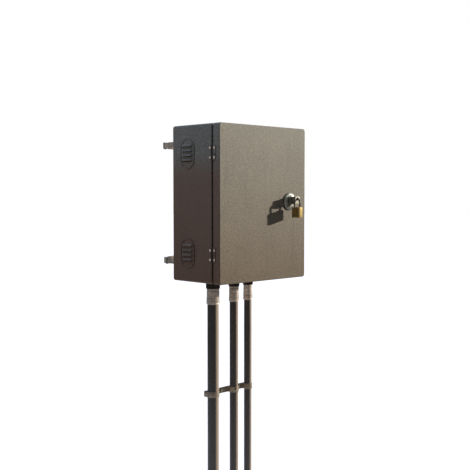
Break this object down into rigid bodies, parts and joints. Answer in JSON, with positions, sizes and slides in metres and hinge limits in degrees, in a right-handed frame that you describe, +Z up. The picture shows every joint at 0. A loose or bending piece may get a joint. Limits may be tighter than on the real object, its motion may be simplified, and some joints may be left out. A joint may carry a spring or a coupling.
{
  "type": "pole-mounted electrical enclosure",
  "caption": "Sheet-steel electrical enclosure banded to a pole, with a hinged door, padlocked turn latch, oblong side vents and conduits leaving the bottom.",
  "frame": {"origin": "on the axis of the pole that carries it, level with the middle of the box", "axes": "+Z up the pole, -Y out through the door, +X to the right of someone facing the door"},
  "size_m": [0.4137, 0.4952, 1.226],
  "materials": {
    "painted_steel": "fine textured powder coat, satin",
    "galvanised_steel": "dull galvanised",
    "stainless_band": "rolled, weathered",
    "zinc_fasteners": "bright zinc plate",
    "chrome": "polished plate, slightly pitted",
    "hardened_steel": "plated bar",
    "brass": "drawn, slightly tarnished",
    "rubber_seal": "moulded foam rubber",
    "cast_zinc": "as cast, dulled outdoors",
    "conduit_plastic": "semi-gloss extruded",
    "grey_moulding": "fine moulded",
    "black_moulding": "fine moulded",
    "bushing_plastic": "moulded"
  },
  "bodies": {
    "enclosure": {"body": "painted_steel", "vent_upper": "painted_steel", "vent_lower": "painted_steel", "hinge_upper_body_leaf": "painted_steel", "hinge_lower_body_leaf": "painted_steel", "pole_bracket_upper": "galvanised_steel", "pole_bracket_lower": "galvanised_steel", "back_panel": "galvanised_steel", "din_rail": "galvanised_steel", "conduit_strap": "galvanised_steel", "conduit_strap_bar": "galvanised_steel", "pole_band_upper": "stainless_band", "pole_band_lower": "stainless_band", "band_buckle_upper": "stainless_band", "band_buckle_lower": "stainless_band", "bracket_bolts": "zinc_fasteners", "bracket_nuts": "zinc_fasteners", "panel_studs": "zinc_fasteners", "panel_nuts": "zinc_fasteners", "din_rail_screws": "zinc_fasteners", "conduit_strap_bolts": "zinc_fasteners", "locknuts": "zinc_fasteners", "hinge_pins": "zinc_fasteners", "hinge_rivets_body": "zinc_fasteners", "ground_bar_screws": "zinc_fasteners", "ground_bar": "brass", "entry_rings": "rubber_seal", "connector_left": "cast_zinc", "connector_middle": "cast_zinc", "connector_right": "cast_zinc", "gland_nut_left": "cast_zinc", "gland_nut_middle": "cast_zinc", "gland_nut_right": "cast_zinc", "conduit_left": "conduit_plastic", "conduit_middle": "conduit_plastic", "conduit_right": "conduit_plastic", "breaker_main": "grey_moulding", "breaker_left": "grey_moulding", "breaker_right": "grey_moulding", "terminal_blocks": "grey_moulding", "bushings": "bushing_plastic"},
    "door": {"door": "painted_steel", "door_gasket": "rubber_seal", "hinge_upper_door_leaf": "painted_steel", "hinge_lower_door_leaf": "painted_steel", "hinge_rivets_door": "zinc_fasteners", "latch_base": "chrome", "latch_seal": "rubber_seal", "latch_nut": "zinc_fasteners"},
    "handle": {"latch_handle": "chrome", "latch_cam": "galvanised_steel", "latch_cam_screw": "zinc_fasteners"},
    "shackle": {"padlock_shackle": "hardened_steel"},
    "padlock": {"padlock_body": "brass"},
    "plug": {"padlock_plug": "brass"},
    "lever_main": {"breaker_main_lever": "black_moulding"},
    "lever_left": {"breaker_left_lever": "black_moulding"},
    "lever_right": {"breaker_right_lever": "black_moulding"}
  },
  "joints": [
    {"name": "door_swing", "type": "hinge", "parent": "enclosure", "child": "door", "pos_m": [-0.2058, -0.30685, 0], "axis": [0, 0, -1], "range_deg": [0, 165]},
    {"name": "handle_turn", "type": "hinge", "parent": "door", "child": "handle", "pos_m": [0.122, -0.3396, 0.006], "axis": [0, -1, 0], "range_deg": [0, 90]},
    {"name": "padlock_swing", "type": "hinge", "parent": "handle", "child": "shackle", "pos_m": [0.122, -0.37535, 0.01522], "axis": [0, 1, 0], "range_deg": [-20, 20]},
    {"name": "shackle_release", "type": "slide", "parent": "shackle", "child": "padlock", "axis": [0, 0, -1], "range_m": [0, 0.01]},
    {"name": "key_turn", "type": "hinge", "parent": "padlock", "child": "plug", "pos_m": [0.122, -0.37535, -0.04728], "axis": [0, 0, 1], "range_deg": [0, 90]},
    {"name": "lever_main_switch", "type": "hinge", "parent": "enclosure", "child": "lever_main", "pos_m": [-0.088, -0.1944, 0.07], "axis": [1, 0, 0], "range_deg": [0, 44]},
    {"name": "lever_left_switch", "type": "hinge", "parent": "enclosure", "child": "lever_left", "pos_m": [-0.05, -0.1944, 0.07], "axis": [1, 0, 0], "range_deg": [0, 44]},
    {"name": "lever_right_switch", "type": "hinge", "parent": "enclosure", "child": "lever_right", "pos_m": [-0.031, -0.1944, 0.07], "axis": [1, 0, 0], "range_deg": [0, 44]}
  ]
}
